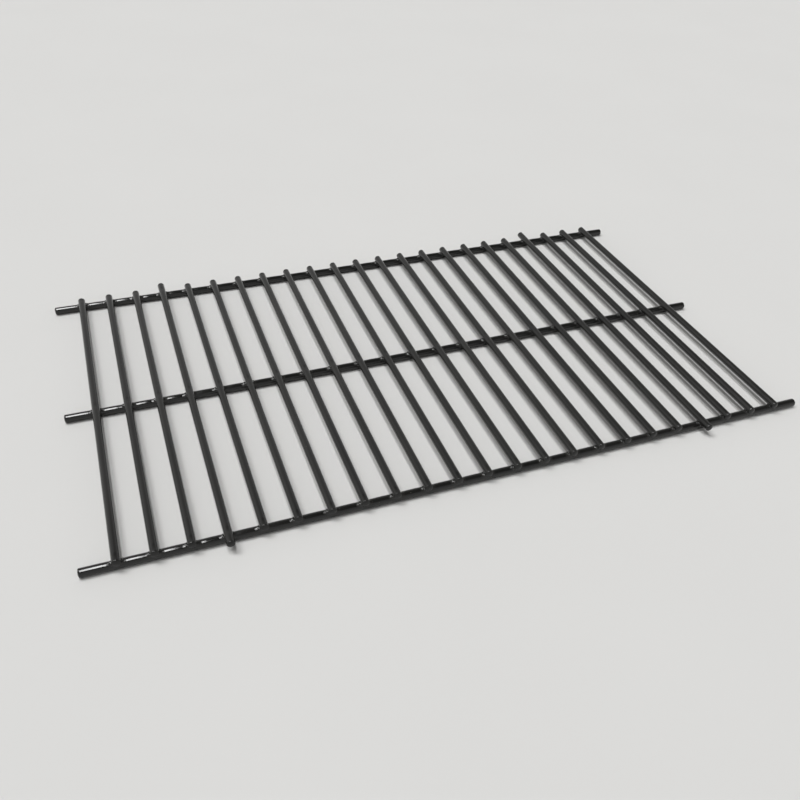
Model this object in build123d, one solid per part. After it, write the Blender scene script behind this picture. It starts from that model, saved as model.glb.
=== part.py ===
from build123d import *
import os
from math import sqrt

os.makedirs("parts", exist_ok=True)

# A welded wire rack that carries briquettes over a gas burner: round bars that run from front to
# rear, resistance-welded down onto three cross rods. Millimetres, +Z up, +X along the rods. The
# origin is on the surface that the rack lies on, under the middle of the middle rod.

# Driving dimensions
BAR_COUNT = 23
BAR_PITCH = 24.0
BAR_DIAMETER = 6.0
BAR_OVERHANG = 4.0  # end of a bar past the axis of the outer rod
LONG_BAR_OVERHANG = 11.0  # the same, on the two bars whose ends locate the rack
LONG_BAR_PLACE = 4  # counted in from each side of the rack
ROD_DIAMETER = 6.5
ROD_SPACING = 156.0  # axis to axis, from the front rod to the middle one and on to the rear one
ROD_OVERHANG = 24.0  # end of a rod past the axis of the outermost bar
SET_DOWN = 1.4  # depth by which the weld sinks a bar into a rod
UPSET_REACH = 0.9  # weld metal squeezed out along the top of the rod, past the bar's flank
UPSET_POINT = 2.4  # past the bar's flank, where the upset's sides would run to a point
UPSET_NECK = 1.2  # inside the bar's flank, where those sides end at the rod's edge
UPSET_LIP = 0.05  # how far the upset runs on under the bar, past the end of its seat

# Places that follow from them
BAR_RADIUS = BAR_DIAMETER / 2
ROD_RADIUS = ROD_DIAMETER / 2
BAR_AXIS_Z = ROD_DIAMETER - SET_DOWN + BAR_RADIUS
SEAT_HALF_LENGTH = sqrt(ROD_RADIUS**2 - (ROD_RADIUS - SET_DOWN) ** 2)
ROD_LENGTH = (BAR_COUNT - 1) * BAR_PITCH + 2 * ROD_OVERHANG
BAR_PLACES = [(i - (BAR_COUNT - 1) / 2) * BAR_PITCH for i in range(BAR_COUNT)]
ROD_PLACES = {"front": -ROD_SPACING, "middle": 0.0, "rear": ROD_SPACING}


def bar(overhang):
    """A square-cut length of wire over the middle of the rack, with its ends past the outer rods."""
    length = 2 * (ROD_SPACING + overhang)
    return Pos(0, 0, BAR_AXIS_Z) * Cylinder(BAR_RADIUS, length, rotation=(90, 0, 0))


def weld_upset():
    """The metal squeezed out of one weld, over the middle rod: a 45 degree shoulder on each side of
    the bar, six-sided in plan, that narrows from the top of the rod to a lip under the bar."""
    foot = BAR_RADIUS + UPSET_REACH
    ridge = ROD_DIAMETER + foot
    point = BAR_RADIUS + UPSET_POINT
    neck = BAR_RADIUS - UPSET_NECK
    end = SEAT_HALF_LENGTH + UPSET_LIP
    shoulders = [(-foot - ROD_RADIUS, ROD_RADIUS), (0, ridge), (foot + ROD_RADIUS, ROD_RADIUS)]
    plan = [(point, 0), (neck, end), (-neck, end), (-point, 0), (-neck, -end), (neck, -end)]
    with BuildPart() as upset:
        with BuildSketch(Plane.XZ):
            with BuildLine():
                Polyline(*shoulders, close=True)
            make_face()
        extrude(amount=end, both=True)
        with BuildSketch(Plane.XY):
            with BuildLine():
                Polyline(*plan, close=True)
            make_face()
        extrude(amount=ridge, mode=Mode.INTERSECT)
    return upset.part


def cross_rod():
    """A square-cut rod under the bars, with upset metal and a saddle where each bar is set down."""
    rod = Pos(0, 0, ROD_RADIUS) * Cylinder(ROD_RADIUS, ROD_LENGTH, rotation=(0, 90, 0))
    upset = weld_upset()
    crossing_bar = bar(BAR_OVERHANG)
    rod += [Pos(x, 0, 0) * upset for x in BAR_PLACES]
    return rod - [Pos(x, 0, 0) * crossing_bar for x in BAR_PLACES]


def bar_name(number):
    """Bars are numbered from the left, and the two long ones are named for their side."""
    if number == LONG_BAR_PLACE:
        return "long_bar_left"
    if number == BAR_COUNT + 1 - LONG_BAR_PLACE:
        return "long_bar_right"
    return f"bar_{number:02d}"


rod = cross_rod()
for place, y in ROD_PLACES.items():
    export_step(Pos(0, y, 0) * rod, f"parts/cross_rod_{place}.step")

for number, x in enumerate(BAR_PLACES, start=1):
    name = bar_name(number)
    overhang = LONG_BAR_OVERHANG if name.startswith("long") else BAR_OVERHANG
    export_step(Pos(x, 0, 0) * bar(overhang), f"parts/{name}.step")
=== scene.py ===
import math
import random

import bmesh
import bpy
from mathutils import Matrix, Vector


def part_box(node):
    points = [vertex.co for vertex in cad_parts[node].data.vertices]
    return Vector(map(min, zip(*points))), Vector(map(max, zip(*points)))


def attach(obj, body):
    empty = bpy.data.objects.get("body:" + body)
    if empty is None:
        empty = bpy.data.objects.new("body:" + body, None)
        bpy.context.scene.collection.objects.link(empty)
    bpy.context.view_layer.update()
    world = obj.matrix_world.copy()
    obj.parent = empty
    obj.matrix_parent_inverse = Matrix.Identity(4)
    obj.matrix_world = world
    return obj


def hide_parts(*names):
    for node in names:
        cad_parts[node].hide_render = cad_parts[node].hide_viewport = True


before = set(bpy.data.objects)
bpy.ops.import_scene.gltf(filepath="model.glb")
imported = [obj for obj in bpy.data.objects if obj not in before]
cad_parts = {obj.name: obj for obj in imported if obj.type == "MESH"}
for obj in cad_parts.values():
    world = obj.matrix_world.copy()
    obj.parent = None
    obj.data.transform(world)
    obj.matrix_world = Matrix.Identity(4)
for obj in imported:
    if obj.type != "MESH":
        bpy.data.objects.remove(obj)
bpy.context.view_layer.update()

# The looks of the briquette rack: wires with a dark glossy enamel, cut ends that the enamel rounds,
# flats where the welding electrodes pressed, and welds with squeezed-out metal under the enamel.
MM = 0.001
SEED = 23
ALONG_ROD = 0  # the cross rods lie along X
ALONG_BAR = 1  # the bars lie along Y

# Sizes and places read from the frame
LENGTH_DIGITS = 3  # bars whose lengths agree to a micrometre share a pattern
rod_nodes = sorted(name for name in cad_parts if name.startswith("cross_rod"))
bar_nodes = sorted(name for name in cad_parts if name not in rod_nodes)
bar_low, bar_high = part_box("bar_01")
rod_low, rod_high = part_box("cross_rod_middle")
BAR_RADIUS = max(bar_high.x - bar_low.x, bar_high.z - bar_low.z) / 2
BAR_AXIS_Z = (bar_low.z + bar_high.z) / 2
ROD_RADIUS = (rod_high.y - rod_low.y) / 2
ROD_AXIS_Z = rod_low.z + ROD_RADIUS
ROD_LENGTH = rod_high.x - rod_low.x
ROD_PLACES = {name: sum(corner.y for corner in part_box(name)) / 2 for name in rod_nodes}
BAR_PLACES = {name: sum(corner.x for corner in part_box(name)) / 2 for name in bar_nodes}

# Wire sizes
WIRE_SIDES = 48
END_ROUND = 0.7 * MM  # radius of a cut end's rim under the enamel
END_ROUND_STEPS = 4
END_HOLD = 1.3 * MM  # a ring of edges this far from the end keeps the wire straight up to it
END_CROWN = 0.3 * MM  # how far the middle of a cut face stands out
END_INSET = 0.9 * MM
END_TILT = math.radians(2.2)
END_PICK = END_ROUND * 1.2  # depth of the end that turns when the cut is tilted
FLAT_DEPTH = 0.15 * MM  # an electrode's mark, opposite the weld
FLAT_RINGS = (2.6 * MM, 3.2 * MM, 3.8 * MM, 4.5 * MM, 5.2 * MM, 6.2 * MM)
FLAT_PICK = 2.7 * MM
SINK_DEPTH = 0.15 * MM  # sag of a rod's top beside a weld
SINK_REACH = 8.5 * MM
SINK_RINGS = (7.4 * MM, 8.8 * MM, 10.4 * MM)
SINK_CAP = 0.8  # the part of the rod's radius above which its top is drawn down
SMOOTH_ANGLE = math.radians(40)
FACING_END = 0.99  # a face is a cut face where its normal is this much along the wire
COATED_AS_END = 0.8  # the same, for the face and the rim that take the cut ends' darker enamel, which is painted shade
PLACE_SLACK = 0.001 * MM  # two places nearer than this are the same

# Weld sizes
BEAD_RADIUS = 1.3 * MM
BEAD_SECTIONS = 12
BEAD_SIDES = 8
BEAD_RING_RADIUS = 4.0 * MM
BEAD_SUNK = 0.6 * MM  # the bead's middle line lies this far under the wires' skin
BEAD_UNDER_BAR = 0.9  # thickness under the bar, as a part of that beside it
BEAD_UNEVEN = (0.78, 1.18)
BEAD_OVAL = 0.66  # the ring's width across the rod, as a part of its length
BEAD_LEVELS = 2
STUB_SUNK = 0.06 * MM  # the short wires in a weld are thinner by this, to stay under the real ones
STUB_LENGTH = 13 * MM
WELD_VOXEL = 0.27 * MM
WELD_SMOOTHING = {"factor": 0.5, "iterations": 9}
WELD_KEPT_FACES = 0.22
WELD_PATTERNS = 6
SEAT_LENGTH = 18 * MM
MERGE_REACH = 0.002 * MM

# Enamel
ENAMEL_IOR = 1.5
FULL_SHINE = 0.5
# Lower shine for the cut ends: painted shade, taking part of the floor's reflection off the end faces.
SHADED_END_SHINE = 0.36
SAG_SIZE = 9 * MM
SAG_DETAIL = 2
PEEL_SIZE = 1.6 * MM
PEEL_DETAIL = 1
TONE_SIZE = 30 * MM
TONE_DETAIL = 3
GLOSS_SIZE = 5 * MM
GLOSS_DETAIL = 5
MOTTLE_RANGE = (0.3, 0.7)  # the part of the noise that is spread over the whole range
SPECK_SPACING = 2.2 * MM
SPECK_RADIUS = 0.09  # in spacings
SPECK_COLOUR = (0.16, 0.15, 0.13)

# Floor, lamps, room and camera, with angles in degrees
FLOOR_SIZE = 60
FLOOR_TONES = ((0.615, 0.612, 0.603), (0.635, 0.632, 0.623))
FLOOR_NOISE_SCALE = 6
FLOOR_ROUGHNESS = 0.9
FLOOR_SHINE = 0.1
STRIP_TILTS = (-14, -6.5, 1, 8.5, 16)
STRIP = {"lean": -3.4, "width": 8.4, "energy": 0.29}
SIDE_LAMP = {"tilt": -16, "lean": -23, "width": 20, "energy": 1.2}
ROOM_SLOPE = (0.35, 0, 1)  # the way in which the room gets dimmer
ROOM_LEVELS = ((0.0, 0.66), (0.35, 0.6), (0.68, 0.46), (0.86, 0.14), (1.0, 0.05))
ROOM_BLUE = 0.985  # blue, as a part of red and green
CAMERA_PLACE = (-0.2283, -0.5216, 0.4236)
CAMERA_TURN = (50.26, -2.852, -20.53)
CAMERA_SENSOR = 36
CAMERA_LENS = 36.11


# Modelling helpers
def clear_selection():
    bpy.ops.object.select_all(action="DESELECT")


def choose(piece):
    """Makes one piece the only one selected, and the active one."""
    clear_selection()
    piece.select_set(True)
    bpy.context.view_layer.objects.active = piece


def edit(piece):
    choose(piece)
    bpy.ops.object.mode_set(mode="EDIT")


def leave_edit():
    bpy.ops.object.mode_set(mode="OBJECT")


def pick(piece, kind, test):
    """Selects the vertices or the faces that pass the test, in edit mode."""
    bpy.ops.mesh.select_mode(type=kind)
    mesh = bmesh.from_edit_mesh(piece.data)
    for element in mesh.verts if kind == "VERT" else mesh.faces:
        element.select = test(element)
    mesh.select_flush_mode()
    bmesh.update_edit_mesh(piece.data)


def finish_with(piece, kind, **settings):
    """Adds a modifier of that kind and applies it."""
    choose(piece)
    modifier = piece.modifiers.new(kind.lower(), kind)
    for key, value in settings.items():
        setattr(modifier, key, value)
    bpy.ops.object.modifier_apply(modifier=modifier.name)


def settle(piece):
    """Puts the piece's place into its mesh."""
    choose(piece)
    bpy.ops.object.transform_apply(location=True, rotation=True, scale=True)


def smooth(piece):
    choose(piece)
    bpy.ops.object.shade_smooth_by_angle(angle=SMOOTH_ANGLE)


def copy_to(piece, name, place, turn=0.0):
    """A copy with a mesh of its own, turned about the upright axis and moved to a place."""
    choose(piece)
    bpy.ops.object.duplicate(linked=False)
    twin = bpy.context.object
    twin.name = name
    twin.rotation_euler.z = turn
    twin.location = place
    settle(twin)
    return twin


def join(pieces):
    """Joins pieces into the first of them."""
    clear_selection()
    for piece in pieces:
        piece.select_set(True)
    bpy.context.view_layer.objects.active = pieces[0]
    bpy.ops.object.join()
    return pieces[0]


def remove(piece):
    mesh = piece.data
    bpy.data.objects.remove(piece)
    bpy.data.meshes.remove(mesh)


def along(axis, amount):
    """A step of that length along one axis."""
    step = [0, 0, 0]
    step[axis] = amount
    return step


# Wires
def straight_wire(name, axis, radius, length, height):
    """A plain cylinder along the rods or the bars, lying at a height."""
    turn = math.pi / 2 if axis == ALONG_ROD else 0
    clear_selection()
    bpy.ops.mesh.primitive_cylinder_add(
        vertices=WIRE_SIDES, radius=radius, depth=length, end_fill_type="NGON",
        location=(0, 0, height), rotation=(math.pi / 2, 0, turn),
    )
    wire = bpy.context.object
    wire.name = name
    settle(wire)
    return wire


def cut_ring(wire, axis, place):
    """Adds a ring of edges round the wire, in edit mode."""
    bpy.ops.mesh.select_all(action="SELECT")
    bpy.ops.mesh.bisect(plane_co=along(axis, place), plane_no=along(axis, 1))


def rings_about(place, reaches):
    """Places of rings on both sides of a weld."""
    return [place + side * reach for reach in reaches for side in (-1, 1)]


def round_ends(wire, axis, half_length):
    """Rounds the rims of both cut ends and crowns their faces, as the enamel does."""
    edit(wire)
    pick(wire, "VERT", lambda corner: abs(abs(corner.co[axis]) - half_length) < PLACE_SLACK)
    bpy.ops.mesh.bevel(offset=END_ROUND, segments=END_ROUND_STEPS, affect="EDGES")
    for side in (1, -1):
        pick(wire, "FACE", lambda face: face.normal[axis] * side > FACING_END)
        bpy.ops.mesh.inset(thickness=END_INSET)
        bpy.ops.transform.translate(value=along(axis, side * END_CROWN))
    leave_edit()


def press_flats(wire, axis, half_length, places, level, sign):
    """Presses a flat into the wire's top or underside at each weld, with a short run-out."""
    last_ring = half_length - END_HOLD
    edit(wire)
    for place in places:
        for ring in rings_about(place, FLAT_RINGS):
            cut_ring(wire, axis, max(-last_ring, min(last_ring, ring)))
        pick(
            wire, "VERT",
            lambda corner: abs(corner.co[axis] - place) < FLAT_PICK and (corner.co.z - level) * sign > 0,
        )
        bpy.ops.transform.resize(value=(1, 1, 0), center_override=(0, 0, level))
    leave_edit()


def model_wire(name, axis, radius, length, height, *flats):
    """A wire with rounded ends, and flats at its welds."""
    half = length / 2 - END_CROWN
    wire = straight_wire(name, axis, radius, 2 * half, height)
    edit(wire)
    for side in (-1, 1):
        cut_ring(wire, axis, side * (half - END_HOLD))
    leave_edit()
    press_flats(wire, axis, half, *flats)
    round_ends(wire, axis, half)
    return wire


def model_bar(name, length):
    """A bar with its flats on top."""
    level = BAR_AXIS_Z + BAR_RADIUS - FLAT_DEPTH
    return model_wire(name, ALONG_BAR, BAR_RADIUS, length, BAR_AXIS_Z, ROD_PLACES.values(), level, 1)


def tilt_cuts(bar, place, ends, draw):
    """Turns each cut end of a bar a little off square, by its own amount."""
    for end in ends:
        edit(bar)
        pick(bar, "VERT", lambda corner: abs(corner.co.y - end) < END_PICK)
        for turning in ("X", "Z"):
            bpy.ops.transform.rotate(
                value=draw.uniform(-END_TILT, END_TILT), orient_axis=turning,
                center_override=(place, end, BAR_AXIS_Z),
            )
        leave_edit()


def sink_welds(rod):
    """Lets the rod's top sag towards each weld, where the hot metal gave way under the bar."""
    cap = ROD_AXIS_Z + ROD_RADIUS * SINK_CAP
    edit(rod)
    for place in BAR_PLACES.values():
        for ring in rings_about(place, SINK_RINGS):
            cut_ring(rod, ALONG_ROD, ring)
        pick(rod, "VERT", lambda corner: abs(corner.co.x - place) < FLAT_PICK and corner.co.z > cap)
        bpy.ops.transform.translate(
            value=(0, 0, -SINK_DEPTH), use_proportional_edit=True, proportional_edit_falloff="SMOOTH",
            proportional_size=SINK_REACH, use_proportional_connected=True,
        )
    leave_edit()


def model_rod(name):
    """A cross rod with its flats underneath, before its welds."""
    level = ROD_AXIS_Z - ROD_RADIUS + FLAT_DEPTH
    rod = model_wire(name, ALONG_ROD, ROD_RADIUS, ROD_LENGTH, ROD_AXIS_Z, BAR_PLACES.values(), level, -1)
    sink_welds(rod)
    return rod


# Welds
def in_section(place, angle):
    """Tells whether a place on a bead's ring is nearest to the section at that angle."""
    off = math.remainder(math.atan2(place.y, place.x) - angle, 2 * math.pi)
    return abs(off) < math.pi / BEAD_SECTIONS


def bead_ring(draw):
    """A saddle-shaped ring of squeezed-out metal, along the line where bar and rod meet and uneven
    all round."""
    seat_high = ROD_AXIS_Z + ROD_RADIUS - BEAD_SUNK
    seat_low = BAR_AXIS_Z - BAR_RADIUS - BEAD_SUNK
    middle_z = (seat_high + seat_low) / 2
    clear_selection()
    bpy.ops.mesh.primitive_torus_add(
        major_segments=BEAD_SECTIONS, minor_segments=BEAD_SIDES,
        major_radius=BEAD_RING_RADIUS, minor_radius=BEAD_RADIUS, location=(0, 0, middle_z),
    )
    ring = bpy.context.object
    settle(ring)
    edit(ring)
    for section in range(BEAD_SECTIONS):
        angle = 2 * math.pi * section / BEAD_SECTIONS
        pick(ring, "VERT", lambda corner: in_section(corner.co, angle))
        beside_bar = math.cos(angle) ** 2
        size = (beside_bar + BEAD_UNDER_BAR * (1 - beside_bar)) * draw.uniform(*BEAD_UNEVEN)
        middle = (BEAD_RING_RADIUS * math.cos(angle), BEAD_RING_RADIUS * math.sin(angle), middle_z)
        bpy.ops.transform.resize(value=(size, size, size), center_override=middle)
        lift = (seat_high - seat_low) / 2 * math.cos(2 * angle)
        bpy.ops.transform.translate(value=(0, 0, lift))
    bpy.ops.mesh.select_all(action="SELECT")
    bpy.ops.transform.resize(value=(1, BEAD_OVAL, 1), center_override=(0, 0, 0))
    leave_edit()
    finish_with(ring, "SUBSURF", levels=BEAD_LEVELS, render_levels=BEAD_LEVELS)
    return ring


def model_weld(name, draw):
    """The bead and the two wires inside it, run together and smoothed."""
    weld = bead_ring(draw)
    weld.name = name
    rod_stub = straight_wire("rod_stub", ALONG_ROD, ROD_RADIUS - STUB_SUNK, STUB_LENGTH, ROD_AXIS_Z)
    bar_stub = straight_wire("bar_stub", ALONG_BAR, BAR_RADIUS - STUB_SUNK, STUB_LENGTH, BAR_AXIS_Z)
    join([weld, rod_stub, bar_stub])
    finish_with(weld, "REMESH", mode="VOXEL", voxel_size=WELD_VOXEL)
    finish_with(weld, "SMOOTH", **WELD_SMOOTHING)
    finish_with(weld, "DECIMATE", ratio=WELD_KEPT_FACES)
    return weld


def drop_spare_corners(piece):
    """Takes out corners with only two edges, which would fold over when faces become triangles."""
    pick(piece, "VERT", lambda corner: len(corner.link_edges) == 2)
    bpy.ops.mesh.dissolve_verts()


def run_in(rod, beads, seats):
    """Makes the rod and its weld metal one body and cuts the bars' seats out of it."""
    finish_with(rod, "BOOLEAN", operation="UNION", object=beads, solver="EXACT", material_mode="TRANSFER")
    finish_with(rod, "BOOLEAN", operation="DIFFERENCE", object=seats, solver="EXACT")
    edit(rod)
    bpy.ops.mesh.select_all(action="SELECT")
    bpy.ops.mesh.remove_doubles(threshold=MERGE_REACH)
    drop_spare_corners(rod)
    bpy.ops.mesh.select_all(action="SELECT")
    bpy.ops.mesh.normals_make_consistent(inside=False)
    leave_edit()
    remove(beads)
    remove(seats)


# Materials
def new_group(name, values, results):
    """A shader node group over a position, with named values and results, and its two end nodes."""
    group = bpy.data.node_groups.new(name, "ShaderNodeTree")
    group.interface.new_socket(name="Position", in_out="INPUT", socket_type="NodeSocketVector")
    for label in values:
        group.interface.new_socket(name=label, in_out="INPUT", socket_type="NodeSocketFloat")
    for label in results:
        group.interface.new_socket(name=label, in_out="OUTPUT", socket_type="NodeSocketFloat")
    return group, group.nodes.new("NodeGroupInput"), group.nodes.new("NodeGroupOutput")


def math_node(group, operation, first, second):
    """The result of an operation on two values, each a socket or a number."""
    node = group.nodes.new("ShaderNodeMath")
    node.operation = operation
    for value, socket in zip((first, second), node.inputs):
        if isinstance(value, bpy.types.NodeSocket):
            group.links.new(value, socket)
        else:
            socket.default_value = value
    return node.outputs[0]


def noise_over(group, given, size, detail):
    """Noise over the position, with features of the size that a named value gives."""
    noise = group.nodes.new("ShaderNodeTexNoise")
    noise.inputs["Detail"].default_value = detail
    group.links.new(math_node(group, "DIVIDE", 1, given.outputs[size]), noise.inputs["Scale"])
    group.links.new(given.outputs["Position"], noise.inputs["Vector"])
    return noise.outputs["Fac"]


def peel_group():
    """The slight waviness of a fired coat: broad sags and a fine orange peel, as one height."""
    group, given, result = new_group("enamel peel", ["Sag Size", "Peel Size", "Peel Share"], ["Height"])
    link = group.links.new
    both = group.nodes.new("ShaderNodeMix")
    link(given.outputs["Peel Share"], both.inputs["Factor"])
    link(noise_over(group, given, "Sag Size", SAG_DETAIL), both.inputs["A"])
    link(noise_over(group, given, "Peel Size", PEEL_DETAIL), both.inputs["B"])
    link(both.outputs["Result"], result.inputs["Height"])
    return group


def mottle_group():
    """Uneven thickness of the coat: a slow change in tone and a finer change in gloss."""
    group, given, result = new_group("coat mottle", ["Tone Size", "Gloss Size"], ["Tone", "Gloss"])
    for label, detail in (("Tone", TONE_DETAIL), ("Gloss", GLOSS_DETAIL)):
        spread = group.nodes.new("ShaderNodeMapRange")
        spread.inputs["From Min"].default_value = MOTTLE_RANGE[0]
        spread.inputs["From Max"].default_value = MOTTLE_RANGE[1]
        group.links.new(noise_over(group, given, f"{label} Size", detail), spread.inputs["Value"])
        group.links.new(spread.outputs["Result"], result.inputs[label])
    return group


def speck_group():
    """Pinholes and grit under the coat: small round spots, one in some of the cells."""
    group, given, result = new_group("coat specks", ["Spacing", "Radius", "Share"], ["Mask"])
    link = group.links.new
    cells = group.nodes.new("ShaderNodeTexVoronoi")
    parts = group.nodes.new("ShaderNodeSeparateColor")
    link(math_node(group, "DIVIDE", 1, given.outputs["Spacing"]), cells.inputs["Scale"])
    link(given.outputs["Position"], cells.inputs["Vector"])
    link(cells.outputs["Color"], parts.inputs["Color"])
    near = math_node(group, "LESS_THAN", cells.outputs["Distance"], given.outputs["Radius"])
    chosen = math_node(group, "LESS_THAN", parts.outputs["Red"], given.outputs["Share"])
    link(math_node(group, "MULTIPLY", near, chosen), result.inputs["Mask"])
    return group


PEEL = peel_group()
MOTTLE = mottle_group()
SPECKS = speck_group()


def placed(tree, group, position, values):
    """A group's node in a material, over a position and with its own values."""
    node = tree.nodes.new("ShaderNodeGroup")
    node.node_tree = group
    for label, value in values.items():
        node.inputs[label].default_value = value
    tree.links.new(position, node.inputs["Position"])
    return node.outputs


def colour_mix(tree, share, first, second):
    """A colour between two, by a share. The first of them may be a socket."""
    mix = tree.nodes.new("ShaderNodeMix")
    mix.data_type = "RGBA"
    tree.links.new(share, mix.inputs["Factor"])
    if isinstance(first, bpy.types.NodeSocket):
        tree.links.new(first, mix.inputs["A"])
    else:
        mix.inputs["A"].default_value = (*first, 1)
    mix.inputs["B"].default_value = (*second, 1)
    return mix.outputs["Result"]


def enamel(name, stretch, dark, light, gloss, peel_depth, peel_share, speck_share, shine=FULL_SHINE):
    """Dark glossy enamel. The pattern is drawn out along the wire by stretch, a scale for each axis."""
    material = bpy.data.materials.new(name)
    material.use_nodes = True
    tree = material.node_tree
    link = tree.links.new
    shader = tree.nodes["Principled BSDF"]
    shader.inputs["IOR"].default_value = ENAMEL_IOR
    shader.inputs["Specular IOR Level"].default_value = shine
    place = tree.nodes.new("ShaderNodeTexCoord").outputs["Object"]
    mapping = tree.nodes.new("ShaderNodeMapping")
    mapping.inputs["Scale"].default_value = stretch
    link(place, mapping.inputs["Vector"])
    drawn_out = mapping.outputs["Vector"]

    mottle = placed(tree, MOTTLE, drawn_out, {"Tone Size": TONE_SIZE, "Gloss Size": GLOSS_SIZE})
    specks = placed(
        tree, SPECKS, place,
        {"Spacing": SPECK_SPACING, "Radius": SPECK_RADIUS, "Share": speck_share},
    )
    tone = colour_mix(tree, mottle["Tone"], dark, light)
    link(colour_mix(tree, specks["Mask"], tone, SPECK_COLOUR), shader.inputs["Base Color"])

    rough = tree.nodes.new("ShaderNodeMapRange")
    rough.inputs["To Min"].default_value = gloss[0]
    rough.inputs["To Max"].default_value = gloss[1]
    link(mottle["Gloss"], rough.inputs["Value"])
    link(rough.outputs["Result"], shader.inputs["Roughness"])

    peel = placed(
        tree, PEEL, drawn_out,
        {"Sag Size": SAG_SIZE, "Peel Size": PEEL_SIZE, "Peel Share": peel_share},
    )
    bump = tree.nodes.new("ShaderNodeBump")
    bump.inputs["Distance"].default_value = peel_depth
    link(peel["Height"], bump.inputs["Height"])
    link(bump.outputs["Normal"], shader.inputs["Normal"])
    return material


BAR_ENAMEL = enamel(
    "enamel on bars", stretch=(1, 0.45, 1), dark=(0.0095, 0.0094, 0.009), light=(0.017, 0.0166, 0.0155),
    gloss=(0.09, 0.17), peel_depth=0.04 * MM, peel_share=0.25, speck_share=0.06,
)
# Painted shade: the cross rods have the bars' enamel with its colour made darker all over, standing in for
# the shade on their lower flanks.
SHADED_ROD_ENAMEL = enamel(
    "enamel on cross rods, darkened as painted shade", stretch=(0.45, 1, 1), dark=(0.007, 0.0069, 0.0066), light=(0.012, 0.0117, 0.011),
    gloss=(0.06, 0.12), peel_depth=0.04 * MM, peel_share=0.25, speck_share=0.06,
)
WELD_ENAMEL = enamel(
    "enamel on welds", stretch=(1, 1, 1), dark=(0.008, 0.0079, 0.0075), light=(0.02, 0.0192, 0.0176),
    gloss=(0.1, 0.24), peel_depth=0.08 * MM, peel_share=0.6, speck_share=0.2,
)
# Painted shade: the cut ends get the wires' enamel made darker and less shiny, standing in for the shade on
# the end faces.
SHADED_END_ENAMEL = enamel(
    "enamel on cut ends, darkened as painted shade", stretch=(1, 1, 1), dark=(0.005, 0.0049, 0.0047), light=(0.011, 0.0106, 0.0098),
    gloss=(0.12, 0.26), peel_depth=0.1 * MM, peel_share=0.7, speck_share=0.2, shine=SHADED_END_SHINE,
)


def coat(piece, body, ends, axis):
    """Gives a wire its coat, and its two cut ends a darker, less shiny one that paints shade on the end
    faces.
    """
    piece.data.materials.clear()
    piece.data.materials.append(body)
    piece.data.materials.append(ends)
    for face in piece.data.polygons:
        face.material_index = 1 if abs(face.normal[axis]) > COATED_AS_END else 0


# Pieces
draw = random.Random(SEED)
welds = [model_weld(f"weld_pattern_{number}", draw) for number in range(WELD_PATTERNS)]
for weld in welds:
    weld.data.materials.clear()
    weld.data.materials.append(WELD_ENAMEL)

bar_patterns = {}
for node in bar_nodes:
    low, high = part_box(node)
    length = round((high.y - low.y) / MM, LENGTH_DIGITS) * MM
    if length not in bar_patterns:
        bar_patterns[length] = model_bar(f"bar_pattern_{len(bar_patterns)}", length)
    bar = copy_to(bar_patterns[length], f"enamelled_{node}", (BAR_PLACES[node], 0, 0))
    tilt_cuts(bar, BAR_PLACES[node], (low.y, high.y), draw)
    coat(bar, BAR_ENAMEL, SHADED_END_ENAMEL, ALONG_BAR)
    smooth(bar)
    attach(bar, "root")
    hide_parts(node)
for pattern in bar_patterns.values():
    remove(pattern)

rod_pattern = model_rod("rod_pattern")
seat_pattern = straight_wire("seat_pattern", ALONG_BAR, BAR_RADIUS, SEAT_LENGTH, BAR_AXIS_Z)
coat(rod_pattern, SHADED_ROD_ENAMEL, SHADED_END_ENAMEL, ALONG_ROD)
for node in rod_nodes:
    rod = copy_to(rod_pattern, f"enamelled_{node}", (0, ROD_PLACES[node], 0))
    beads = []
    seats = []
    for bar_node in bar_nodes:
        crossing = (BAR_PLACES[bar_node], ROD_PLACES[node], 0)
        beads.append(copy_to(draw.choice(welds), "bead", crossing, draw.choice((0, math.pi))))
        seats.append(copy_to(seat_pattern, "seat", crossing))
    run_in(rod, join(beads), join(seats))
    smooth(rod)
    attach(rod, "root")
    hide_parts(node)
for pattern in (rod_pattern, seat_pattern, *welds):
    remove(pattern)


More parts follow.
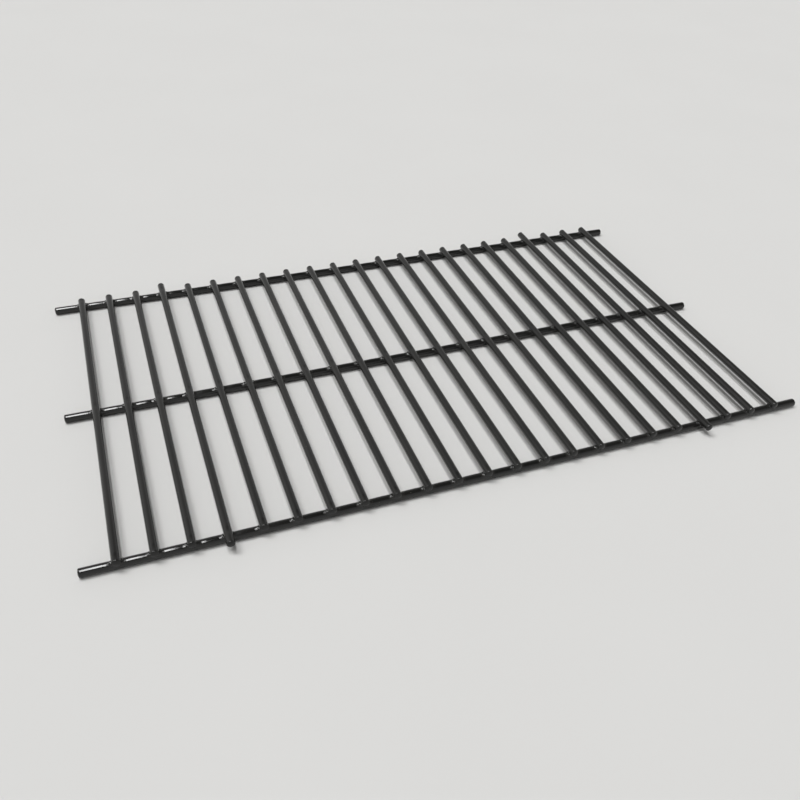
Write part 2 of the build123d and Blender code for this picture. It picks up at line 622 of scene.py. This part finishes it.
# Stage
def pale_floor():
    """A plain pale floor with a faint mottle."""
    clear_selection()
    bpy.ops.mesh.primitive_plane_add(size=FLOOR_SIZE)
    floor = bpy.context.object
    floor.name = "floor"
    material = bpy.data.materials.new("pale floor")
    material.use_nodes = True
    tree = material.node_tree
    shader = tree.nodes["Principled BSDF"]
    shader.inputs["Roughness"].default_value = FLOOR_ROUGHNESS
    shader.inputs["Specular IOR Level"].default_value = FLOOR_SHINE
    place = tree.nodes.new("ShaderNodeTexCoord")
    noise = tree.nodes.new("ShaderNodeTexNoise")
    noise.inputs["Scale"].default_value = FLOOR_NOISE_SCALE
    tree.links.new(place.outputs["Object"], noise.inputs["Vector"])
    tone = colour_mix(tree, noise.outputs["Fac"], *FLOOR_TONES)
    tree.links.new(tone, shader.inputs["Base Color"])
    floor.data.materials.append(material)


def soft_lamp(tilt, lean, width, energy):
    """A soft round lamp overhead, so many degrees towards the front and towards the right."""
    clear_selection()
    bpy.ops.object.light_add(type="SUN", rotation=(math.radians(tilt), math.radians(lean), 0))
    lamp = bpy.context.object
    lamp.data.angle = math.radians(width)
    lamp.data.energy = energy


def studio_light():
    """A strip of lamps overhead, a broad one to its left and rear, and a room that is pale low down
    and dim above, and paler to the left."""
    for tilt in STRIP_TILTS:
        soft_lamp(tilt, **STRIP)
    soft_lamp(**SIDE_LAMP)
    world = bpy.data.worlds.new("studio")
    bpy.context.scene.world = world
    world.use_nodes = True
    nodes = world.node_tree.nodes
    link = world.node_tree.links.new
    place = nodes.new("ShaderNodeTexCoord")
    slope = nodes.new("ShaderNodeVectorMath")
    slope.operation = "DOT_PRODUCT"
    slope.inputs[1].default_value = ROOM_SLOPE
    ramp = nodes.new("ShaderNodeValToRGB")
    stops = ramp.color_ramp.elements
    while len(stops) < len(ROOM_LEVELS):
        stops.new(0.5)  # its place follows below
    for stop, (height, level) in zip(stops, ROOM_LEVELS):
        stop.position = height
        stop.color = (level, level, level * ROOM_BLUE, 1)
    link(place.outputs["Generated"], slope.inputs[0])
    link(slope.outputs["Value"], ramp.inputs["Fac"])
    link(ramp.outputs["Color"], nodes["Background"].inputs["Color"])


def camera():
    """A camera at the photograph's viewing angle."""
    clear_selection()
    bpy.ops.object.camera_add(
        location=CAMERA_PLACE, rotation=[math.radians(turn) for turn in CAMERA_TURN],
    )
    viewer = bpy.context.object
    viewer.data.sensor_width = CAMERA_SENSOR
    viewer.data.lens = CAMERA_LENS
    bpy.context.scene.camera = viewer


pale_floor()
studio_light()
camera()
bpy.context.scene.view_settings.view_transform = "Standard"
